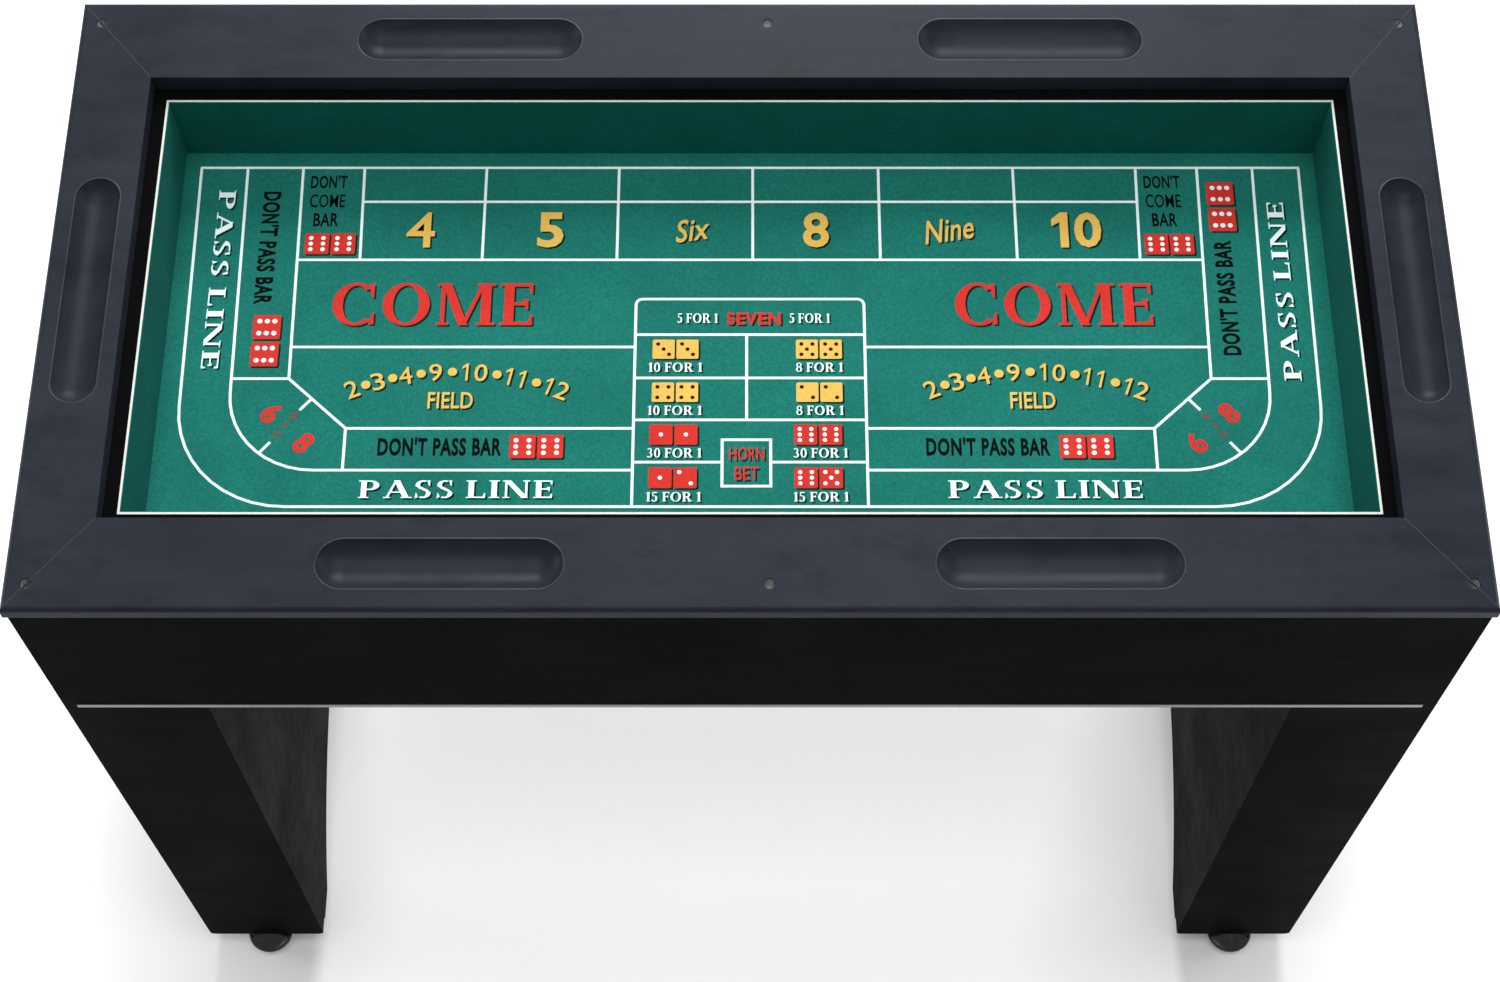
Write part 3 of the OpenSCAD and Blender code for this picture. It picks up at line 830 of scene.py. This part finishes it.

# %% [markdown]
# ## Soft lips and mitre lines
# A router leaves a softened lip round each chip trough, and it is the lip that shines. The lip here is a fine
# bead, half sunk in the rail, carried round the outline: two half circles, two straights. Its laminate is coloured
# lighter than the rail's: a painted highlight.
# The mitres show as a hairline of shade in their fine groove, so a hair of near-black painted shade is laid across
# each corner of the rail.

# %% Trough lips and mitres

LONG_TROUGH_X = 254 * MM
LONG_TROUGH = (204 * MM, 46 * MM)
END_TROUGH_IN = 33.5 * MM
END_TROUGH = (226 * MM, 40 * MM)
BEAD = (0.75 * MM, 0.42 * MM)
BEAD_SUNK = 0.12 * MM
SEAM_W = 0.9 * MM


def trough_lip(x, y, length, width, upright):
    """A ring: a small ellipse carried round a stadium, each section set square to the outline."""
    half = (length - width) / 2
    right = arc(half, 0, width / 2, width / 2, -90, 90, 25)
    outline = np.vstack([right, -right])
    outward = np.vstack([right - (half, 0), -right + (half, 0)]) / (width / 2)
    if upright:
        outline, outward = outline[:, ::-1] * (1, -1), outward[:, ::-1] * (1, -1)
    around = np.radians(np.arange(0, 360, 36))
    reach = BEAD[0] * np.cos(around)
    grid = np.empty((len(outline), len(around), 3))
    grid[:, :, :2] = (outline + (x, y))[:, None] + outward[:, None] * reach[None, :, None]
    grid[:, :, 2] = RAIL_TOP - BEAD_SUNK + BEAD[1] * np.sin(around)
    grid = np.concatenate([grid, grid[:1]])
    points, faces = skin(grid)
    wrap = len(outline) * len(around)
    faces = [[i % wrap for i in face] for face in faces[:-2]]
    return points[:wrap], faces


end_x = MOUTH_X + END_TROUGH_IN
long_y = (HALF_W + MOUTH_Y) / 2
lips = [trough_lip(i * LONG_TROUGH_X, j * long_y, *LONG_TROUGH, False)
        for i in (-1, 1) for j in (-1, 1)]
lips += [trough_lip(i * end_x, 0, *END_TROUGH, True) for i in (-1, 1)]
# The lip's laminate is the rail's, coloured lighter: the lighter colour is a painted highlight on its rounded
# edge.
lip_laminate_painted_highlight = laminate("trough_lip", shade(36, 40, 48), shade(47, 52, 60), 0.32, 0.25)
piece("chip_trough_lips", lips, lip_laminate_painted_highlight, smooth=True)

seams = []
for i in (-1, 1):
    for j in (-1, 1):
        start = np.array([i * (MOUTH_X + 0.5 * MM), j * (MOUTH_Y + 0.5 * MM)])
        end = np.array([i * (HALF_L - 3.5 * MM), j * (HALF_W - 4.5 * MM)])
        along = (end - start) / np.linalg.norm(end - start)
        side = np.array([-along[1], along[0]]) * SEAM_W / 2
        corners = np.array([start - side, end - side, end + side, start + side])
        grid = np.empty((2, 4, 3))
        grid[:, :, :2] = corners
        grid[:, :, 2] = np.array([RAIL_TOP - 1 * MM, RAIL_TOP + 0.03 * MM])[:, None]
        seams.append(skin(grid))
piece("rail_mitre_lines", seams, mitre_painted_shade)

# %% [markdown]
# ## Turned and threaded pieces
# Caps, feet and threads are turned shapes. Their radius is worked out for every height and every
# angle at once: a plain cap's radius does not change with the angle, a foot's grip adds a wave to
# it, and a thread's radius depends on height and angle together, which is what makes it a helix.

# %% Caps, feet and threads

CAP_R = 4.95 * MM
CORNER_CAP_IN = (19.5 * MM, 24 * MM)
MID_CAP_X = 16 * MM
PITCH = 1.25 * MM
THREAD_DEPTH = 0.68 * MM
GRIPS = 40
CAP_SIDES = 32
THREAD_SIDES = 24
TURN_ROWS = 8
PAD_SIDES = 160


def turned_shape(x, y, radius, height):
    """Points at a radius for each row and angle, about an upright axis at (x, y)."""
    rows, cols = radius.shape
    a = np.linspace(0, 2 * np.pi, cols, endpoint=False)
    grid = np.empty((rows, cols, 3))
    grid[:, :, 0] = x + radius * np.cos(a)
    grid[:, :, 1] = y + radius * np.sin(a)
    grid[:, :, 2] = height
    return skin(grid)


def screw_cap(x, y, low, high, r):
    """A cap with a rolled edge and a dished middle, its rows running up its wall and then inward."""
    share = np.array([0.99, 1.0, 1.0, 0.985, 0.93, 0.85, 0.80, 0.55, 0.2])
    rise = np.array([0.0, 0.05, 0.7, 0.9, 1.0, 1.0, 0.86, 0.74, 0.7])
    radius = np.repeat(r * share[:, None], CAP_SIDES, 1)
    return turned_shape(x, y, radius, (low + (high - low) * rise)[:, None])


cap_low, cap_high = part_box("rail_screw_caps")
cap_x = HALF_L - CORNER_CAP_IN[0]
cap_y = HALF_W - CORNER_CAP_IN[1]
cap_sites = [(x, j * cap_y) for x in (-cap_x, MID_CAP_X, cap_x) for j in (-1, 1)]
caps = [screw_cap(x, y, cap_low.z, cap_high.z, CAP_R) for x, y in cap_sites]
caps_made = piece("screw_cap_discs", caps, finishes["screw_cap_plastic"],
                  smooth=True)
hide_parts("rail_screw_caps")


def threaded_stem(low, high):
    """A thread: from the full radius is taken a triangle wave of height over pitch less the share
    of a turn, flattened at both its ends. The last 1.5 mm at the top taper a little."""
    x, y = (low.x + high.x) / 2, (low.y + high.y) / 2
    rows = TURN_ROWS * int((high.z - low.z) / PITCH)
    height = np.linspace(low.z, high.z, rows + 1)[:, None]
    turn = np.linspace(0, 1, THREAD_SIDES, endpoint=False)[None, :]
    wave = np.abs(((height / PITCH - turn) % 1.0) * 2 - 1)
    depth = THREAD_DEPTH * np.clip((wave - 0.1) / 0.75, 0, 1)
    fade = np.clip((high.z - height) / (1.5 * MM), 0, 1)
    radius = (high.x - low.x) / 2 - depth - (1 - fade) * 0.6 * MM
    return turned_shape(x, y, np.clip(radius, 1 * MM, None), height)


def ribbed_pad(low, high):
    """A low cone with a rolled rim and a six-sided collar. Round the rim, a shallow wave of forty
    grips is added to the radius, and it dies out towards the top."""
    x, y = (low.x + high.x) / 2, (low.y + high.y) / 2
    r, h = (high.x - low.x) / 2, high.z - low.z
    cone = np.linspace(0, 1, 9)[1:]
    reach = np.concatenate([[0.90, 0.965, 0.995, 1.0, 0.99, 0.955],
                            0.955 - cone * (0.955 - 0.33), [0.30, 0.29, 0.29, 0.26, 0.2]]) * r
    rise = np.concatenate([[0.0, 0.0, 0.03, 0.12, 0.2, 0.235],
                           0.235 + 0.5 * cone ** 1.25, [0.76, 0.80, 0.96, 1.0, 1.0]]) * h
    a = np.linspace(0, 2 * np.pi, PAD_SIDES, endpoint=False)
    grip = np.zeros(len(reach))
    grip[2:5] = (0.35 * MM, 0.5 * MM, 0.35 * MM)
    wave = 0.5 + 0.5 * np.cos(GRIPS * a)
    radius = reach[:, None] - grip[:, None] * wave[None, :]
    sixth = (a + np.pi / 6) % (np.pi / 3) - np.pi / 6
    hexagon = np.cos(np.pi / 6) / np.cos(sixth)
    radius[-4:-1] *= hexagon[None, :]
    return turned_shape(x, y, radius, low.z + rise[:, None])


for corner in ("front_left", "front_right", "back_left", "back_right"):
    stem_piece = piece("threaded_stem_" + corner, [threaded_stem(*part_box("stem_" + corner))],
                       finishes["zinc_steel"], "stem_" + corner, smooth=True)
    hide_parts("stem_" + corner)
    pad_piece = piece("foot_pad_" + corner, [ribbed_pad(*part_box("pad_" + corner))],
                      finishes["foot_plastic"], "pad_" + corner, smooth=True)
    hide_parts("pad_" + corner)

# %% [markdown]
# ## Floor and light
# The floor lies where the feet reach when they are screwed right out, so no foot ever sinks into
# it. A wide soft lamp hangs behind and above the table. It lights the near side of each trough and
# leaves the front of the cabinet dark, and four weaker lamps keep that dark from going flat.

# %% Floor

FLOOR_HALF = 14.0
FLOOR_GAP = 0.5 * MM
floor_mesh = bpy.data.meshes.new("floor")
corners = np.array([(-1, -1, 0), (1, -1, 0), (1, 1, 0), (-1, 1, 0)]) * FLOOR_HALF
corners[:, 2] = -FOOT_TRAVEL - FLOOR_GAP
floor_mesh.from_pydata(corners.tolist(), [], [(0, 1, 2, 3)])
paper = Finish("pale_floor")
tint = paper.mix(paper.noise(3.0), shade(248, 248, 248), shade(244, 244, 244))
floor_mesh.materials.append(paper.finish(Base_Color=tint, Roughness=0.9))
floor = bpy.data.objects.new("floor", floor_mesh)
bpy.context.scene.collection.objects.link(floor)
print("floor at", round(float(corners[0, 2]), 4))

# %% Lamps

# A lamp's name, its place, the point that it faces, its width in metres and its power in watts
LAMPS = (
    ("key", (0.4, 5.4, 5.0), (0, 0, 0.8), 3.2, 500),
    ("top", (0.0, -0.2, 4.2), (0, 0, 0.8), 2.6, 85),
    ("front", (1.2, -3.4, 1.6), (0, 0, 0.5), 2.0, 3),
    ("side", (-3.6, 0.5, 1.3), (0, 0, 0.5), 1.6, 45),
    ("side", (3.6, 0.5, 1.3), (0, 0, 0.5), 1.6, 45),
)
DAYLIGHT = 0.42


def lamp(name, place, aim, size, power):
    """A square soft lamp at a place, turned to face a point."""
    data = bpy.data.lights.new(name, "AREA")
    data.size = size
    data.energy = power
    made = bpy.data.objects.new(name, data)
    made.location = place
    made.rotation_euler = (Vector(aim) - Vector(place)).to_track_quat("-Z", "Y").to_euler()
    bpy.context.scene.collection.objects.link(made)


for values in LAMPS:
    lamp(*values)
world = bpy.data.worlds.new("studio")
world.use_nodes = True
backdrop = world.node_tree.nodes["Background"].inputs
backdrop["Color"].default_value = (1, 1, 1, 1)
backdrop["Strength"].default_value = DAYLIGHT
bpy.context.scene.world = world
bpy.context.scene.view_settings.view_transform = "Standard"
print("lamps:", len(LAMPS))

# %% [markdown]
# ## The camera
# The camera stands high over the table's front edge and looks steeply down, as from a tall ladder.
# A lens of about 60 mm, with a small shift, takes in the far rail and the feet together.

# %% Camera

EYE = (0.0, -1.150, 2.795)
TILT = 0.4515
LENS = 61.06
SENSOR_W = 36.0
SHIFT = 0.03
view = bpy.data.cameras.new("camera")
view.sensor_width = SENSOR_W
view.lens = LENS
view.shift_y = SHIFT
camera = bpy.data.objects.new("camera", view)
camera.location = EYE
camera.rotation_euler = (TILT, 0.0, 0.0)
bpy.context.scene.collection.objects.link(camera)
bpy.context.scene.camera = camera
print("camera at", EYE, "tilted", round(float(np.degrees(TILT)), 1), "degrees from straight down")
